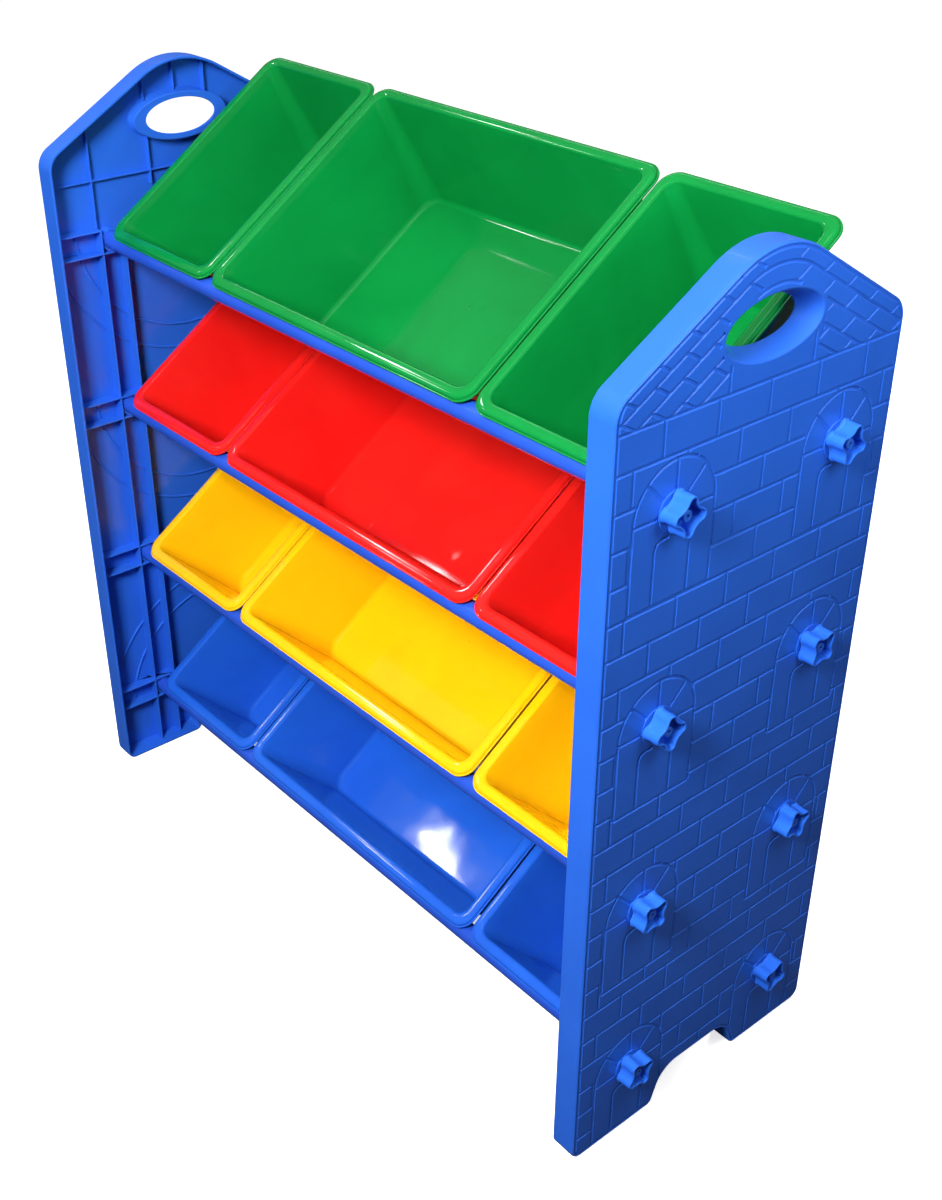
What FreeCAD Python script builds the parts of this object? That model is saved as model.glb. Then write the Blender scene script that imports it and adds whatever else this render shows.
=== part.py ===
import FreeCAD, Part
import math
import os

# Toy storage organizer: two moulded side panels tied by eight tubes, with twelve
# lift-out bins that lean on the tubes in four tiers.
# Millimetres. +Z up, front of the rack towards -Y, +X to the right-hand panel.
# Origin on the floor, midway between the panels and midway between front and rear.

os.makedirs("parts", exist_ok=True)

# driving sizes of the rack
rack_half_width = 445.0       # centre plane to the outer face of a panel
panel_half_depth = 174.0
apex_height = 896.0
apex_radius = 80.0
shoulder_below_apex = 89.5
tier_count = 4
lowest_rail_z = 86.0
top_rail_below_apex = 194.4
rail_y = 101.5                # front and rear tubes are level with each other

shoulder_height = apex_height - shoulder_below_apex
tier_pitch = (apex_height - top_rail_below_apex - lowest_rail_z) / (tier_count - 1)

# clearances
rest_gap = 0.3                # between a bin and whatever it rests on
turn_gap = 0.3                # around anything that turns
press_gap = 0.05              # around a pressed-in plug
bin_side_gap = 2.75           # between neighbouring bins, and between bin and panel

# side panel, an open tray
skin = 3.0
panel_rim_depth = 28.0
rim_wall = 3.0
face_edge_radius = 5.0
shoulder_radius = 16.0
foot_outer_radius = 12.0
foot_inner_radius = 8.0
foot_gap_half_bottom = 62.0
foot_gap_half_top = 47.0
foot_gap_height = 41.0
foot_gap_radius = 28.0

# ribs inside the tray
rib = 2.0
deep_rib = 15.0
shallow_rib = 6.0
rib_from_rail = 14.5          # vertical ribs either side of a tube
box_half_height = 13.5        # level ribs above and below a tube
stub_rib_y = 144.0
cross_rib_z = apex_height - 126.0
gable_rib_y = 40.0
gable_rib_foot_z = apex_height - 141.0

# hand hole, an elliptical funnel pressed in from the outer face
hand_z = apex_height - 68.0
hand_half_y = 57.5
hand_half_z = 26.0
hand_throat_half_y = 45.0
hand_throat_half_z = 19.5
hand_depth = 20.0
hand_wall = 3.0
hand_ring = 13.0              # flat ring round the throat, across its length
hand_ring_across = 4.0
hand_ring_height = 3.0

# tubes and their end plugs
rail_radius = 11.0
rail_wall = 2.0
plug_length = 30.0
socket_wall = 2.0
socket_depth = 12.0

# screw knob
boss_radius = 18.5
boss_height = 1.0
screw_radius = 5.0
screw_length = 24.0
knob_reach = 18.0             # panel face to the open end of the knob
knob_tip_radius = 18.5
knob_waist_radius = 12.6
knob_lobe_radius = 6.2
knob_lobes = 4
knob_wall = 2.2
knob_floor = 3.5
knob_lip = 0.9
knob_lip_height = 3.0
hub_radius = 5.0
hub_bore_radius = 1.6
hub_bore_depth = 8.0
hub_below_end = 4.0
knob_turns = {
    "right_front": (85.0, 2.0, 40.0, 30.0),
    "right_rear": (69.0, 44.5, 20.0, 62.0),
    "left_front": (10.0, 55.0, 73.0, 28.0),
    "left_rear": (33.0, 5.0, 48.0, 80.0),
}

# bins
large_bin_width = 419.0
bin_length = 292.0
bin_depth = 122.0
bin_wall = 2.0
bin_rim_overhang = 12.0
bin_rim_height = 6.2
bin_rim_corner = 20.0
bin_top_corner = 14.0
bin_floor_corner = 24.0
bin_draft_side = 30.0         # how far a side wall leans in from rim to floor
bin_draft_end = 26.0
bin_floor_round = 7.0
skirt = 2.5
rim_skin = 2.0


def vec(x, y, z):
    return FreeCAD.Vector(x, y, z)


def tier_z(tier):
    """Height of a tier's tubes; tier 1 is the top one."""
    return lowest_rail_z + (tier_count - tier) * tier_pitch


def box(x0, x1, y0, y1, z0, z1):
    return Part.makeBox(x1 - x0, y1 - y0, z1 - z0, vec(x0, y0, z0))


def rod(radius, x0, x1, y, z):
    return Part.makeCylinder(radius, x1 - x0, vec(x0, y, z), vec(1, 0, 0))


def fuse_all(shapes):
    first, rest = shapes[0], shapes[1:]
    return first.fuse(rest).removeSplitter() if rest else first


def rounded_wire(corners, place):
    """Closed wire through (u, v, radius) corners; place() turns u, v into a point."""
    arcs = []
    for i, (u, v, radius) in enumerate(corners):
        here = vec(u, v, 0)
        before = vec(corners[i - 1][0], corners[i - 1][1], 0)
        after = vec(corners[(i + 1) % len(corners)][0], corners[(i + 1) % len(corners)][1], 0)
        to_before = (before - here).normalize()
        to_after = (after - here).normalize()
        half = to_before.getAngle(to_after) / 2
        middle = (to_before + to_after).normalize()
        reach = radius / math.tan(half)
        start = here + to_before * reach
        end = here + to_after * reach
        top = here + middle * (radius / math.sin(half) - radius)
        arcs.append([place(p.x, p.y) for p in (start, top, end)])
    edges = []
    for i, (start, top, end) in enumerate(arcs):
        edges.append(Part.Arc(start, top, end).toShape())
        edges.append(Part.makeLine(end, arcs[(i + 1) % len(arcs)][0]))
    return Part.Wire(edges)


# ---------------------------------------------------------------- side panel

def roof_slope():
    """Slope that brings the rounded apex to its height from the shoulder point."""
    slope = math.atan((apex_height - shoulder_height) / panel_half_depth)
    for _ in range(40):
        lost = apex_radius * (1 / math.cos(slope) - 1)
        slope = math.atan((apex_height + lost - shoulder_height) / panel_half_depth)
    return slope


def panel_corners():
    ridge_z = shoulder_height + panel_half_depth * math.tan(roof_slope())
    half = [
        (panel_half_depth, shoulder_height, shoulder_radius),
        (panel_half_depth, 0, foot_outer_radius),
        (foot_gap_half_bottom, 0, foot_inner_radius),
        (foot_gap_half_top, foot_gap_height, foot_gap_radius),
    ]
    other = [(-y, z, radius) for y, z, radius in reversed(half)]
    return [(0, ridge_z, apex_radius)] + half + other


def ellipse_wire(x, half_y, half_z):
    curve = Part.Ellipse(vec(x, half_y, hand_z), vec(x, 0, hand_z + half_z), vec(x, 0, hand_z))
    return Part.Wire([curve.toShape()])


def ellipse_loft(x0, half_y0, half_z0, x1, half_y1, half_z1):
    first = ellipse_wire(x0, half_y0, half_z0)
    last = ellipse_wire(x1, half_y1, half_z1)
    return Part.makeLoft([first, last], True, True)


def rib_blanks(face):
    """Ribs as plain slabs, later trimmed to the inside of the tray."""
    inner = face - skin
    low = inner - deep_rib
    thin = inner - shallow_rib
    half = rib / 2
    top_box = tier_z(1) + box_half_height
    slabs = []
    for side in (-1, 1):
        outer_rib = side * (rail_y + rib_from_rail)
        inner_rib = side * (rail_y - rib_from_rail)
        for y, top in ((outer_rib, top_box), (inner_rib, top_box - 2 * box_half_height)):
            slabs.append(box(low, inner, y - half, y + half, 0, top + half))
        slabs.append(box(thin, inner, outer_rib - half, outer_rib + half, top_box, apex_height))
        stub = side * stub_rib_y
        for tier in range(1, tier_count + 1):
            z = tier_z(tier)
            slabs.append(box(low, inner, stub - half, stub + half, z - box_half_height, z + box_half_height))
            for level in (z - box_half_height, z + box_half_height):
                end_rib = outer_rib if level == top_box else inner_rib
                y0, y1 = sorted((end_rib, side * panel_half_depth))
                slabs.append(box(low, inner, y0, y1, level - half, level + half))
        gable = side * gable_rib_y
        slabs.append(box(thin, inner, gable - half, gable + half, gable_rib_foot_z, apex_height))
    slabs.append(box(thin, inner, -half, half, hand_z, apex_height))
    slabs.append(box(thin, inner, -panel_half_depth, panel_half_depth, cross_rib_z - half, cross_rib_z + half))
    return slabs


def side_panel():
    """The right-hand panel; its mirror image is the left-hand one."""
    face = rack_half_width
    inner = face - skin
    edge = face - panel_rim_depth
    outline = rounded_wire(panel_corners(), lambda y, z: vec(edge, y, z))
    tray = Part.Face(outline).extrude(vec(panel_rim_depth, 0, 0))
    face_edges = [e for e in tray.Edges if e.BoundBox.XMin > face - 0.01]
    tray = tray.makeFillet(face_edge_radius, face_edges)

    hollow_wire = outline.makeOffset2D(-rim_wall)
    hollow = Part.Face(hollow_wire).extrude(vec(panel_rim_depth - skin, 0, 0))
    ribs = fuse_all(rib_blanks(face)).common(hollow)
    panel = tray.cut(hollow).fuse(ribs)

    throat = face - hand_depth
    collar = ellipse_loft(
        face - face_edge_radius, hand_half_y + hand_wall, hand_half_z + hand_wall,
        throat, hand_throat_half_y + hand_wall, hand_throat_half_z + hand_wall)
    ring_y = hand_throat_half_y + hand_wall + hand_ring
    ring_z = hand_throat_half_z + hand_wall + hand_ring_across
    ring = ellipse_loft(throat, ring_y, ring_z, throat + hand_ring_height, ring_y, ring_z)
    funnel = ellipse_loft(
        face, hand_half_y, hand_half_z,
        throat, hand_throat_half_y, hand_throat_half_z)
    panel = panel.fuse([collar.common(box(throat, face - skin / 2, -100, 100, 0, apex_height)), ring])

    holes = [funnel]
    seats = []
    for tier in range(1, tier_count + 1):
        for y in (-rail_y, rail_y):
            z = tier_z(tier)
            seats.append(rod(boss_radius, inner, face + boss_height, y, z))
            seats.append(rod(rail_radius + turn_gap + socket_wall, inner - socket_depth, inner, y, z))
            holes.append(rod(rail_radius + turn_gap, inner - socket_depth, inner, y, z))
            holes.append(rod(screw_radius + turn_gap, inner, face + boss_height, y, z))
    return panel.fuse(seats).cut(holes)


# ---------------------------------------------------------------- tubes and plugs

def rail_tube(y, z):
    end = rack_half_width - skin
    return rod(rail_radius, -end, end, y, z).cut(rod(rail_radius - rail_wall, -end, end, y, z))


def rail_plug(side, y, z):
    end = rack_half_width - skin
    x0, x1 = sorted((side * end, side * (end - plug_length)))
    body = rod(rail_radius - rail_wall - press_gap, x0, x1, y, z)
    return body.cut(rod(screw_radius + turn_gap, x0, x1, y, z))


# ---------------------------------------------------------------- screw knobs

def star_wire(x, tip, waist, lobe, turn):
    """Lobed outline: round tips joined by hollow arcs, all tangent."""
    step = math.pi / knob_lobes
    centre = tip - lobe
    fall = math.cos(step)
    swell = (lobe ** 2 - centre ** 2 - waist ** 2 + 2 * fall * centre * waist)
    swell /= 2 * (waist - fall * centre - lobe)
    far = waist + swell

    def point(radius, angle):
        return vec(x, radius * math.cos(angle), radius * math.sin(angle))

    edges = []
    for i in range(knob_lobes):
        angle = math.radians(turn) + 2 * step * i
        lobe_centre = point(centre, angle)
        joints = []
        for hollow in (angle - step, angle + step):
            towards = (point(far, hollow) - lobe_centre).normalize()
            joints.append(lobe_centre + towards * lobe)
        next_centre = point(centre, angle + 2 * step)
        towards = (point(far, angle + step) - next_centre).normalize()
        edges.append(Part.Arc(joints[0], point(tip, angle), joints[1]).toShape())
        edges.append(Part.Arc(joints[1], point(waist, angle + step), next_centre + towards * lobe).toShape())
    return Part.Wire(edges)


def star_prism(x0, x1, grow, turn):
    wire = star_wire(x0, knob_tip_radius + grow, knob_waist_radius + grow, knob_lobe_radius + grow, turn)
    return Part.Face(wire).extrude(vec(x1 - x0, 0, 0))


def screw_knob(side, y, z, turn):
    """Hollow star knob and its screw in one moulding, made pointing along +X."""
    base = rack_half_width + boss_height + rest_gap
    end = rack_half_width + knob_reach
    screw_end = rack_half_width - skin - screw_length
    body = star_prism(base, end, 0, turn)
    flange = star_prism(base, base + knob_lip_height, knob_lip, turn)
    pocket = star_prism(base + knob_floor, end, -knob_wall, turn)
    hub_end = end - hub_below_end
    hub = rod(hub_radius, base, hub_end, 0, 0)
    bore = rod(hub_bore_radius, hub_end - hub_bore_depth, hub_end, 0, 0)
    screw = rod(screw_radius, screw_end, base, 0, 0)
    knob = body.cut(pocket).fuse([flange, hub, screw]).cut(bore)
    if side < 0:
        knob = knob.mirror(vec(0, 0, 0), vec(1, 0, 0))
    knob.translate(vec(0, y, z))
    return knob


# ---------------------------------------------------------------- bins

def rounded_rectangle(half_x, y0, y1, z, radius):
    corners = [(half_x, y0, radius), (half_x, y1, radius), (-half_x, y1, radius), (-half_x, y0, radius)]
    return rounded_wire(corners, lambda x, y: vec(x, y, z))


def slab(half_x, y0, y1, z0, z1, radius):
    return Part.Face(rounded_rectangle(half_x, y0, y1, z0, radius)).extrude(vec(0, 0, z1 - z0))


def bin_shell(width, inset, floor_z):
    """Tapered tub, set in by the wall thickness when it is the hollow."""
    half = width / 2 - bin_rim_overhang - inset
    front = bin_rim_overhang + inset
    rear = bin_length - front
    down = -floor_z / bin_depth
    side_in = bin_draft_side * down
    end_in = bin_draft_end * down
    top = rounded_rectangle(half, front, rear, 0, bin_top_corner - inset)
    foot = rounded_rectangle(
        half - side_in, front + end_in, rear - end_in, floor_z, bin_floor_corner - inset)
    tub = Part.makeLoft([foot, top], True, True)
    low_edges = [e for e in tub.Edges if e.BoundBox.ZMax < floor_z + 0.01]
    return tub.makeFillet(bin_floor_round - inset, low_edges)


def upright_bin(width):
    """Bin standing level: rim top at Z=0, front edge of the rim at Y=0."""
    body = bin_shell(width, 0, -bin_depth)
    rim = slab(width / 2, 0, bin_length, -bin_rim_height, 0, bin_rim_corner)
    channel = slab(
        width / 2 - skirt, skirt, bin_length - skirt,
        -bin_rim_height, -rim_skin, bin_rim_corner - skirt)
    hollow = bin_shell(width, bin_wall, -(bin_depth - bin_wall))
    return rim.cut(channel).fuse(body).cut(hollow)


def bin_tilt():
    """Angle at which the front rim and the floor meet two level tubes."""
    return math.asin((bin_depth - bin_rim_height) / (2 * rail_y))


def front_rail_along():
    """Distance behind the rim's front edge of the front tube, against the wall."""
    lean = math.atan(bin_draft_end / bin_depth)
    below = bin_rim_height + rail_radius + rest_gap
    wall = bin_rim_overhang + bin_draft_end * below / bin_depth
    return wall - (rail_radius + rest_gap) / math.cos(lean)


def seat_bin(shape, x, tier):
    """Lean a level bin on its tier's tubes."""
    tilt = bin_tilt()
    along = front_rail_along()
    below = bin_rim_height + rail_radius + rest_gap
    shape.rotate(vec(0, 0, 0), vec(1, 0, 0), math.degrees(tilt))
    origin_y = -rail_y - along * math.cos(tilt) - below * math.sin(tilt)
    origin_z = tier_z(tier) - along * math.sin(tilt) + below * math.cos(tilt)
    shape.translate(vec(x, origin_y, origin_z))
    return shape


# ---------------------------------------------------------------- assembly

def export(shape, node):
    if shape.ShapeType == "Compound" and len(shape.Solids) == 1:
        shape = shape.Solids[0]
    shape.exportStep("parts/" + node + ".step")
    print(node, "solids", len(shape.Solids), "valid", shape.isValid(), "volume", round(shape.Volume))


right_panel = side_panel()
export(right_panel, "right_side_panel")
export(right_panel.mirror(vec(0, 0, 0), vec(1, 0, 0)), "left_side_panel")

opening_half = rack_half_width - panel_rim_depth
small_bin_width = opening_half - large_bin_width / 2 - 2 * bin_side_gap
small_bin_x = opening_half - bin_side_gap - small_bin_width / 2
bin_rows = (
    ("left", -small_bin_x, small_bin_width),
    ("middle", 0.0, large_bin_width),
    ("right", small_bin_x, small_bin_width),
)

for tier in range(1, tier_count + 1):
    z = tier_z(tier)
    for row, y in (("front", -rail_y), ("rear", rail_y)):
        place = row + "_" + str(tier)
        export(rail_tube(y, z), "rail_" + place)
        for name, side in (("left", -1), ("right", 1)):
            turn = knob_turns[name + "_" + row][tier - 1]
            export(rail_plug(side, y, z), "plug_" + name + "_" + place)
            export(screw_knob(side, y, z, turn), "knob_" + name + "_" + place)
    for name, x, width in bin_rows:
        export(seat_bin(upright_bin(width), x, tier), "bin_" + name + "_" + str(tier))
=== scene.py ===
import math

import bmesh
import bpy
from mathutils import Matrix, Vector


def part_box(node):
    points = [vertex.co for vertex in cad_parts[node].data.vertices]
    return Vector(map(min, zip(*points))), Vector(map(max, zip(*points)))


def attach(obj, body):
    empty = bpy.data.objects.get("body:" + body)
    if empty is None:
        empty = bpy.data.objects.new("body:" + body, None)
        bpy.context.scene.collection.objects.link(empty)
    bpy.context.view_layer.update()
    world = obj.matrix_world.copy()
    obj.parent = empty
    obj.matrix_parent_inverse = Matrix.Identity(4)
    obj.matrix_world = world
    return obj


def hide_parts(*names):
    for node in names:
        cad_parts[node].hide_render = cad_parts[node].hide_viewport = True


# A toy storage rack: two moulded blue panels, eight tubes, twelve bins in four colours.
# Sizes in the dictionaries are millimetres. Meshes are built in metres, in the CAD frame.

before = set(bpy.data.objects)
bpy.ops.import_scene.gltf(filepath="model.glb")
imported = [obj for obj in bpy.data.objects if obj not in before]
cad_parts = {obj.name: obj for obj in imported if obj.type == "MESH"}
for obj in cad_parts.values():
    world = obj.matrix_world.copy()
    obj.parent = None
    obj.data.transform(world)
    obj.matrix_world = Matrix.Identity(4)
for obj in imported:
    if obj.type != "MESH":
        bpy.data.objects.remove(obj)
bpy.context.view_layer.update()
mm = 0.001
tiers = (1, 2, 3, 4)


def linear(hexText):  # sRGB hex to linear RGBA
    parts = [int(hexText[i:i + 2], 16) / 255 for i in (1, 3, 5)]
    return [c / 12.92 if c <= 0.04045 else ((c + 0.055) / 1.055) ** 2.4 for c in parts] + [1.0]


def addNode(tree, kind, settings=None, values=None, links=None):
    made = tree.nodes.new(kind)
    for name, value in (settings or {}).items():
        setattr(made, name, value)
    for name, value in (values or {}).items():
        made.inputs[name].default_value = value
    for name, source in (links or {}).items():
        tree.links.new(source, made.inputs[name])
    return made


def objectFrom(name, points, faces, edges=()):
    mesh = bpy.data.meshes.new(name)
    mesh.from_pydata([Vector(p) * mm for p in points], list(edges), faces)
    mesh.validate()
    made = bpy.data.objects.new(name, mesh)
    bpy.context.scene.collection.objects.link(made)
    return made


def settled(piece):  # the evaluated result as a plain mesh, modifiers gone
    depsgraph = bpy.context.evaluated_depsgraph_get()
    mesh = bpy.data.meshes.new_from_object(piece.evaluated_get(depsgraph))
    piece.modifiers.clear()
    piece.data = mesh
    return piece


def outward(piece):
    work = bmesh.new()
    work.from_mesh(piece.data)
    bmesh.ops.recalc_face_normals(work, faces=work.faces)
    work.to_mesh(piece.data)
    work.free()
    return piece


def softShade(piece, crease=38.0):  # smooth over gentle turns, crisp at creases, flats kept flat
    piece.data.shade_smooth()
    piece.data.set_sharp_from_angle(angle=math.radians(crease))
    keep = piece.modifiers.new("flats", "WEIGHTED_NORMAL")
    keep.keep_sharp = True
    keep.weight = 100
    return settled(piece)


def joined(name, pieces):
    work = bmesh.new()
    for piece in pieces:
        work.from_mesh(piece.data)
        bpy.data.objects.remove(piece)
    mesh = bpy.data.meshes.new(name)
    work.to_mesh(mesh)
    work.free()
    made = bpy.data.objects.new(name, mesh)
    bpy.context.scene.collection.objects.link(made)
    return made


def dress(piece, material, body, slot, *nodes):
    piece.data.materials.clear()
    piece.data.materials.append(material)
    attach(piece, body)
    if nodes:
        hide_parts(*nodes)
    return piece


def loopFaces(rings, size, closed=False):
    faces = []
    spans = rings if closed else rings - 1
    for r in range(spans):
        a, b = r * size, ((r + 1) % rings) * size
        for i in range(size):
            j = (i + 1) % size
            faces.append((a + i, a + j, b + j, b + i))
    return faces


def lathe(name, rings):  # rings of equal length, closed by a face at each end
    size = len(rings[0])
    points = [p for ring in rings for p in ring]
    faces = loopFaces(len(rings), size)
    faces.append(tuple(reversed(range(size))))
    faces.append(tuple(range(len(points) - size, len(points))))
    return outward(objectFrom(name, points, faces))


# Materials: injection-moulded and extruded polypropylene

plasticLooks = {
    "panel": {"name": "mouldedPolypropyleneSatin", "hex": "#2B69DE", "shade": "#2763D4", "rough": 0.34,
              "grainMm": 0.9, "grain": 0.03, "wave": 0.06, "through": 0.03, "coat": 0.15},
    "rail": {"name": "extrudedPolypropyleneTube", "hex": "#2A58D2", "shade": "#2650C4", "rough": 0.12,
             "grainMm": 1.6, "grain": 0.012, "wave": 0.05, "through": 0.02, "coat": 0.4},
    # the knobs get the panel's plastic in a brighter blue: painted light that stands in for the strong light
    # falling on the knobs
    "knob": {"name": "mouldedPolypropyleneKnob", "hex": "#2F74EE", "shade": "#2A6AE2", "rough": 0.34,
             "grainMm": 0.9, "grain": 0.03, "wave": 0.03, "through": 0.03, "coat": 0.2},
    "plug": {"name": "mouldedPolypropylenePlug", "hex": "#1C48C0", "shade": "#183FAE", "rough": 0.4,
             "grainMm": 0.9, "grain": 0.04, "wave": 0.02, "through": 0.0, "coat": 0.0},
    "bin_green": {"name": "glossPolypropyleneGreen", "hex": "#08863A", "shade": "#067C34", "rough": 0.07,
                  "grainMm": 2.2, "grain": 0.008, "wave": 0.12, "through": 0.06, "coat": 0.3},
    "bin_red": {"name": "glossPolypropyleneRed", "hex": "#F0221C", "shade": "#E81A18", "rough": 0.07,
                "grainMm": 2.2, "grain": 0.008, "wave": 0.12, "through": 0.06, "coat": 0.3},
    "bin_yellow": {"name": "glossPolypropyleneYellow", "hex": "#FFCC0E", "shade": "#FFC20A", "rough": 0.07,
                   "grainMm": 2.2, "grain": 0.008, "wave": 0.12, "through": 0.06, "coat": 0.3},
    "bin_blue": {"name": "glossPolypropyleneBlue", "hex": "#2466DC", "shade": "#1F5CD0", "rough": 0.07,
                 "grainMm": 2.2, "grain": 0.008, "wave": 0.12, "through": 0.06, "coat": 0.3},
}


def emptyMaterial(name):
    material = bpy.data.materials.new(name)
    material.use_nodes = True
    material.node_tree.nodes.clear()
    return material, material.node_tree


skinSizes = {
    "polished": 0.03, "dulled": 0.06,  # taken from and added to the roughness by rubbing
    "waveDepth": 4.0, "grainDepth": 0.1, "grainGain": 10.0, "scatter": 4.0,
}


def plastic(look):
    # polypropylene from a polished or lightly blasted mould: even colour that drifts a little
    # where the melt flowed, a fine skin texture, broad sink waves that bend reflections, and
    # rub marks that dull the gloss here and there
    s = skinSizes
    material, tree = emptyMaterial(look["name"])
    place = addNode(tree, "ShaderNodeTexCoord").outputs["Object"]
    flow = addNode(tree, "ShaderNodeTexNoise", {}, {"Scale": 7.0, "Detail": 3.0, "Distortion": 1.2},
                   {"Vector": place}).outputs["Fac"]
    drift = addNode(tree, "ShaderNodeMapRange", {}, {"From Min": 0.3, "From Max": 0.7},
                    {"Value": flow})
    colour = addNode(tree, "ShaderNodeMix", {"data_type": "RGBA"}, {6: linear(look["hex"]),
                     7: linear(look["shade"])}, {0: drift.outputs[0]}).outputs[2]
    rubbed = addNode(tree, "ShaderNodeTexNoise", {}, {"Scale": 38.0, "Detail": 6.0, "Roughness": 0.65},
                     {"Vector": place}).outputs["Fac"]
    rough = addNode(tree, "ShaderNodeMapRange", {}, {"From Min": 0.35, "From Max": 0.8,
                    "To Min": look["rough"] - s["polished"],
                    "To Max": look["rough"] + s["dulled"]}, {"Value": rubbed})
    grain = addNode(tree, "ShaderNodeTexNoise", {}, {"Scale": 1 / (look["grainMm"] * mm) / 2,
                    "Detail": 2.0}, {"Vector": place}).outputs["Fac"]
    wave = addNode(tree, "ShaderNodeTexNoise", {}, {"Scale": 14.0, "Detail": 1.0},
                   {"Vector": place}).outputs["Fac"]
    sink = addNode(tree, "ShaderNodeBump", {}, {"Strength": look["wave"],
                   "Distance": s["waveDepth"] * mm}, {"Height": wave}).outputs["Normal"]
    skin = addNode(tree, "ShaderNodeBump", {}, {"Strength": look["grain"] * s["grainGain"],
                   "Distance": s["grainDepth"] * mm}, {"Height": grain, "Normal": sink}).outputs["Normal"]
    shader = addNode(tree, "ShaderNodeBsdfPrincipled", {}, {
        "IOR": 1.49, "Subsurface Weight": look["through"],
        "Subsurface Scale": s["scatter"] * mm,
        "Coat Weight": look["coat"], "Coat Roughness": 0.06}, {
        "Base Color": colour, "Roughness": rough.outputs[0], "Normal": skin})
    addNode(tree, "ShaderNodeOutputMaterial", {}, {}, {"Surface": shader.outputs[0]})
    return material


materials = {slot: plastic(look) for slot, look in plasticLooks.items()}
print("materials", len(materials))


# Where the tubes run, read from the frame

def middle(node):
    low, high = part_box(node)
    return (low + high) / 2


railCentre = {(row, tier): middle("rail_%s_%d" % (row, tier)) / mm
              for row in ("front", "rear") for tier in tiers}
railY = railCentre["rear", 1].y
railZ = {tier: railCentre["front", tier].z for tier in tiers}
panelLow, panelHigh = (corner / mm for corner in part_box("right_side_panel"))


# Side panels

panelSizes = {
    "bossHeight": 1.0, "skin": 3.0, "rimWall": 3.0,
    "edgeRadius": 3.0, "edgeSteps": 6, "lipRadius": 0.9, "lipBevel": 0.3,
    "shoulderZ": 806.5, "apexRadius": 95.0, "apexDrop": 2.4, "shoulderRadius": 26.0,
    "footOuterRadius": 12.0, "footInnerRadius": 8.0,
    "footGapBottom": 62.0, "footGapTop": 47.0, "footGapHeight": 41.0, "footGapRadius": 28.0,
    "ribThickness": 2.0, "deepRib": 15.0, "shallowRib": 6.0, "ribFromRail": 14.5, "boxHalf": 13.5,
    "ribDraft": 0.2, "ribRoot": 0.5, "ribTopDrop": 0.4, "ribTopInset": 0.35,
    "crossZ": 770.0, "gableRibY": 40.0, "gableRibFoot": 755.0,
    "ridgeRadii": (143.0, 172.0), "ridgeRound": 1.6, "ridgeSquash": 1.2,
    "ridgeSteps": 39, "ridgeStep": 2.2, "ridgeSides": 10,
    "ridgeCentres": {1: 18.0, 2: 18.0, 4: -25.5},
    "handZ": 828.0, "handHalf": (57.5, 26.0), "throatHalf": (45.0, 19.5), "handDepth": 20.0,
    "handWall": 3.0, "ringHalf": (61.0, 26.5),
    "socketBore": 11.3, "socketWall": 2.0, "socketDepth": 12.0, "socketDraft": 0.3,
    "screwHole": 5.3, "bossRadius": 18.5,
    "bossEdge": ((-0.35, 0.0), (-0.1, -0.25), (0.0, -0.6)),
    "sink": 1.0, "boreReach": 30.0, "holeReach": 3.0, "holeBack": 2.0, "rimReach": 5.0, "trim": 0.2,
}
faceX = panelHigh.x - panelSizes["bossHeight"]
rimX = panelLow.x
halfDepth = panelHigh.y
apexZ = panelHigh.z - panelSizes["apexDrop"]  # the crown a little rounder than the solid's


def roofSlope():
    s = panelSizes
    slope = 0.5
    for _ in range(40):
        lost = s["apexRadius"] * (1 / math.cos(slope) - 1)
        slope = math.atan((apexZ + lost - s["shoulderZ"]) / halfDepth)
    return slope


slope = roofSlope()
apexCentreZ = apexZ - panelSizes["apexRadius"]


def panelOutline(arcSteps=14):  # (y, z) points with their outward normals, clockwise
    s = panelSizes
    ridge = s["shoulderZ"] + halfDepth * math.tan(slope)
    right = [(halfDepth, s["shoulderZ"], s["shoulderRadius"]),
             (halfDepth, 0, s["footOuterRadius"]),
             (s["footGapBottom"], 0, s["footInnerRadius"]),
             (s["footGapTop"], s["footGapHeight"], s["footGapRadius"])]
    corners = [(0, ridge, s["apexRadius"])] + right + [(-y, z, r) for y, z, r in reversed(right)]
    points = []
    for i, (y, z, radius) in enumerate(corners):
        here = Vector((y, z))
        before = (Vector(corners[i - 1][:2]) - here).normalized()
        after = (Vector(corners[(i + 1) % len(corners)][:2]) - here).normalized()
        half = before.angle(after) / 2
        centre = here + (before + after).normalized() * radius / math.sin(half)
        start = here + before * radius / math.tan(half) - centre
        end = here + after * radius / math.tan(half) - centre
        a = math.atan2(start.y, start.x)
        turn = (math.atan2(end.y, end.x) - a + math.pi) % (2 * math.pi) - math.pi
        sign = 1 if turn < 0 else -1
        for k in range(arcSteps + 1):
            angle = a + turn * k / arcSteps
            ray = Vector((math.cos(angle), math.sin(angle)))
            points.append((centre + ray * radius, ray * sign))
    return points


outlinePoints = panelOutline()


def outlineRing(x, inset):
    return [(x, p.x - n.x * inset, p.y - n.y * inset) for p, n in outlinePoints]


def insideOutline(y, z, inset):  # winding test against the outline drawn in by inset
    ring = [(p.x - n.x * inset, p.y - n.y * inset) for p, n in outlinePoints]
    inside = False
    for (y0, z0), (y1, z1) in zip(ring, ring[1:] + ring[:1]):
        if (z0 > z) != (z1 > z) and y < y0 + (z - z0) * (y1 - y0) / (z1 - z0):
            inside = not inside
    return inside


def ovalRing(x, halfY, halfZ, y, z, steps):
    angles = [2 * math.pi * i / steps for i in range(steps)]
    return [(x, y + halfY * math.cos(a), z + halfZ * math.sin(a)) for a in angles]


def handRings(x, half, profile, steps=72):  # ovals at distances out from x, each grown a little
    return [ovalRing(x + out, half[0] + growY, half[1] + growZ, 0, panelSizes["handZ"], steps)
            for out, growY, growZ in profile]


def circleRing(x, radius, y, z, steps=48):
    return ovalRing(x, radius, radius, y, z, steps)


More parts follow.
